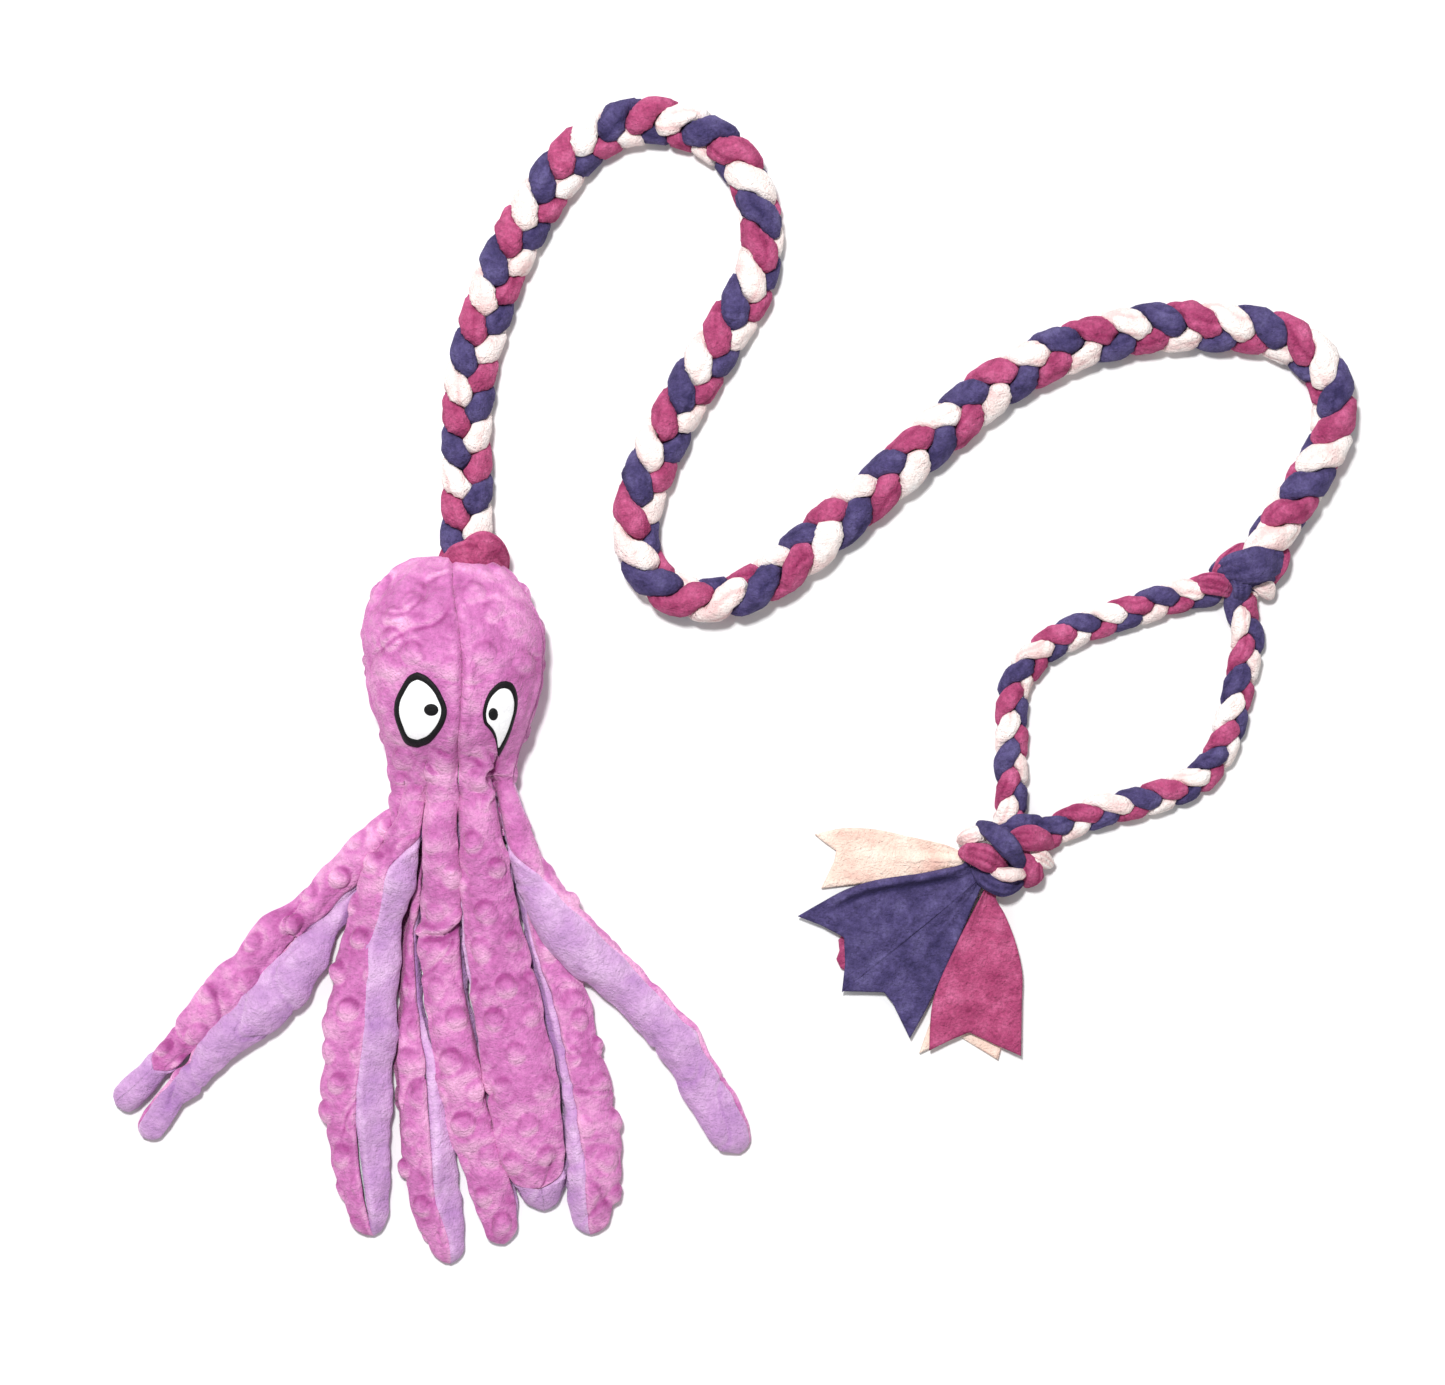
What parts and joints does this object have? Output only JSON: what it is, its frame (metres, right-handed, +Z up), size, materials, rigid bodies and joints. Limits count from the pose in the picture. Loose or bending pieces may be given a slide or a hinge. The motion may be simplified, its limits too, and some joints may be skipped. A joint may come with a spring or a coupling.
{
  "type": "plush octopus tug toy",
  "caption": "Plush octopus dog toy with dotted head panels, limp tentacles and a squeaker, on a long braided fleece rope with a hand loop and swallow-tailed ends.",
  "frame": {"origin": "under the middle of the octopus, on the surface that the toy lies on; the rope, its knots and its tails are left out of this", "axes": "+Z up out of the face, +Y from the tentacle tips to the crown, +X to the octopus's left hand as it lies on its back facing up, towards the hand loop"},
  "size_m": [0.5744, 0.5409, 0.0501],
  "materials": {
    "orchid_plush": "raised dots on short plush",
    "lilac_plush": "short smooth plush",
    "crinkle_film": "thin crinkle film",
    "white_embroidery": "satin stitch",
    "black_embroidery": "satin stitch",
    "fibre_filling": "loose polyester fibre",
    "magenta_fleece": "brushed fleece",
    "white_fleece": "brushed fleece",
    "purple_fleece": "brushed fleece",
    "squeaker_plastic": "soft translucent plastic",
    "reed_plastic": "moulded"
  },
  "bodies": {
    "head": {"head_front_left": "orchid_plush", "head_front_right": "orchid_plush", "head_back_left": "orchid_plush", "head_back_right": "orchid_plush", "head_base": "lilac_plush", "eye_white_left": "white_embroidery", "eye_outline_left": "black_embroidery", "eye_pupil_left": "black_embroidery", "eye_white_right": "white_embroidery", "eye_outline_right": "black_embroidery", "eye_pupil_right": "black_embroidery", "filling_ring": "fibre_filling", "filling_neck": "fibre_filling", "anchor_knot": "magenta_fleece", "squeaker_cup": "squeaker_plastic", "squeaker_bellows": "squeaker_plastic", "squeaker_reed": "reed_plastic", "crown_wrap": "magenta_fleece"},
    "squeaker_top": {"squeaker_cap": "squeaker_plastic"},
    "rope": {"rope_braid": "purple_fleece", "split_knot": "purple_fleece"},
    "handle": {"loop_leg_left": "magenta_fleece", "loop_leg_right": "white_fleece", "end_knot": "purple_fleece"},
    "tentacle_a": {"tentacle_a_dotted": "orchid_plush", "tentacle_a_smooth": "lilac_plush", "tentacle_a_crinkle": "crinkle_film"},
    "tentacle_b": {"tentacle_b_dotted": "orchid_plush", "tentacle_b_smooth": "lilac_plush", "tentacle_b_crinkle": "crinkle_film"},
    "tentacle_c": {"tentacle_c_dotted": "orchid_plush", "tentacle_c_smooth": "lilac_plush", "tentacle_c_crinkle": "crinkle_film"},
    "tentacle_d": {"tentacle_d_dotted": "orchid_plush", "tentacle_d_smooth": "lilac_plush", "tentacle_d_crinkle": "crinkle_film"},
    "tentacle_e": {"tentacle_e_dotted": "orchid_plush", "tentacle_e_smooth": "lilac_plush", "tentacle_e_crinkle": "crinkle_film"},
    "tentacle_f": {"tentacle_f_dotted": "orchid_plush", "tentacle_f_smooth": "lilac_plush", "tentacle_f_crinkle": "crinkle_film"},
    "tentacle_g": {"tentacle_g_dotted": "orchid_plush", "tentacle_g_smooth": "lilac_plush", "tentacle_g_crinkle": "crinkle_film"},
    "tentacle_h": {"tentacle_h_dotted": "orchid_plush", "tentacle_h_smooth": "lilac_plush", "tentacle_h_crinkle": "crinkle_film"},
    "tail_white_upper": {"tail_white_upper": "white_fleece"},
    "tail_purple_upper": {"tail_purple_upper": "purple_fleece"},
    "tail_purple_lower": {"tail_purple_lower": "purple_fleece"},
    "tail_magenta_upper": {"tail_magenta_upper": "magenta_fleece"},
    "tail_magenta_under": {"tail_magenta_under": "magenta_fleece"},
    "tail_white_under": {"tail_white_under": "white_fleece"}
  },
  "joints": [
    {"name": "squeaker_press", "type": "slide", "parent": "head", "child": "squeaker_top", "axis": [0, 0, -1], "range_m": [0, 0.006], "stiffness_N_per_m": 300, "deforming": ["squeaker_bellows"]},
    {"name": "tentacle_a_lift", "type": "hinge", "parent": "head", "child": "tentacle_a", "pos_m": [-0.03265, 0.02535, 0.0144], "axis": [-0.7071, 0.7071, 0], "range_deg": [0, 60]},
    {"name": "tentacle_b_lift", "type": "hinge", "parent": "head", "child": "tentacle_b", "pos_m": [-0.0458, -0.0057, 0.0073], "axis": [-0.8, 0.6, 0], "range_deg": [0, 60]},
    {"name": "tentacle_c_lift", "type": "hinge", "parent": "head", "child": "tentacle_c", "pos_m": [-0.009, 0.03975, 0.027], "axis": [-1, 0, 0], "range_deg": [0, 60]},
    {"name": "tentacle_d_lift", "type": "hinge", "parent": "head", "child": "tentacle_d", "pos_m": [-0.009, -0.0037, 0.0073], "axis": [-1, 0, 0], "range_deg": [0, 60]},
    {"name": "tentacle_e_lift", "type": "hinge", "parent": "head", "child": "tentacle_e", "pos_m": [0.0055, 0.03975, 0.027], "axis": [-1, 0, 0], "range_deg": [0, 60]},
    {"name": "tentacle_f_lift", "type": "hinge", "parent": "head", "child": "tentacle_f", "pos_m": [0.0235, 0.03975, 0.027], "axis": [-1, 0, 0], "range_deg": [0, 60]},
    {"name": "tentacle_g_lift", "type": "hinge", "parent": "head", "child": "tentacle_g", "pos_m": [0.059, -0.0287, 0.0073], "axis": [-0.9474, -0.32, 0], "range_deg": [0, 60]},
    {"name": "tentacle_h_lift", "type": "hinge", "parent": "head", "child": "tentacle_h", "pos_m": [0.0403, 0.03975, 0.027], "axis": [-1, 0, 0], "range_deg": [0, 60]},
    {"name": "rope_swing", "type": "hinge", "parent": "head", "child": "rope", "pos_m": [0.017, 0.167, 0.011], "axis": [0, 0, 1], "range_deg": [-12, 30]},
    {"name": "handle_lift", "type": "hinge", "parent": "rope", "child": "handle", "pos_m": [0.3724, 0.1526, 0.0225], "axis": [-0.7714, 0.6363, 0], "range_deg": [0, 100]},
    {"name": "white_upper_tail_lift", "type": "hinge", "parent": "handle", "child": "tail_white_upper", "pos_m": [0.2503, 0.0183, 0.0072], "axis": [-0.7071, 0.7071, 0], "range_deg": [0, 90]},
    {"name": "magenta_under_tail_lift", "type": "hinge", "parent": "handle", "child": "tail_magenta_under", "pos_m": [0.2503, 0.0183, 0.0072], "axis": [-0.7071, 0.7071, 0], "range_deg": [0, 40]},
    {"name": "purple_upper_tail_lift", "type": "hinge", "parent": "tail_magenta_under", "child": "tail_purple_upper", "pos_m": [0.2503, 0.0183, 0.0072], "axis": [-0.7071, 0.7071, 0], "range_deg": [0, 50]},
    {"name": "purple_lower_tail_lift", "type": "hinge", "parent": "tail_magenta_under", "child": "tail_purple_lower", "pos_m": [0.2503, 0.0183, 0.0072], "axis": [-0.7071, 0.7071, 0], "range_deg": [0, 50]},
    {"name": "white_under_tail_lift", "type": "hinge", "parent": "handle", "child": "tail_white_under", "pos_m": [0.2503, 0.0183, 0.0072], "axis": [-0.7071, 0.7071, 0], "range_deg": [0, 40]},
    {"name": "magenta_upper_tail_lift", "type": "hinge", "parent": "tail_white_under", "child": "tail_magenta_upper", "pos_m": [0.2503, 0.0183, 0.0072], "axis": [-0.7071, 0.7071, 0], "range_deg": [0, 50]}
  ]
}
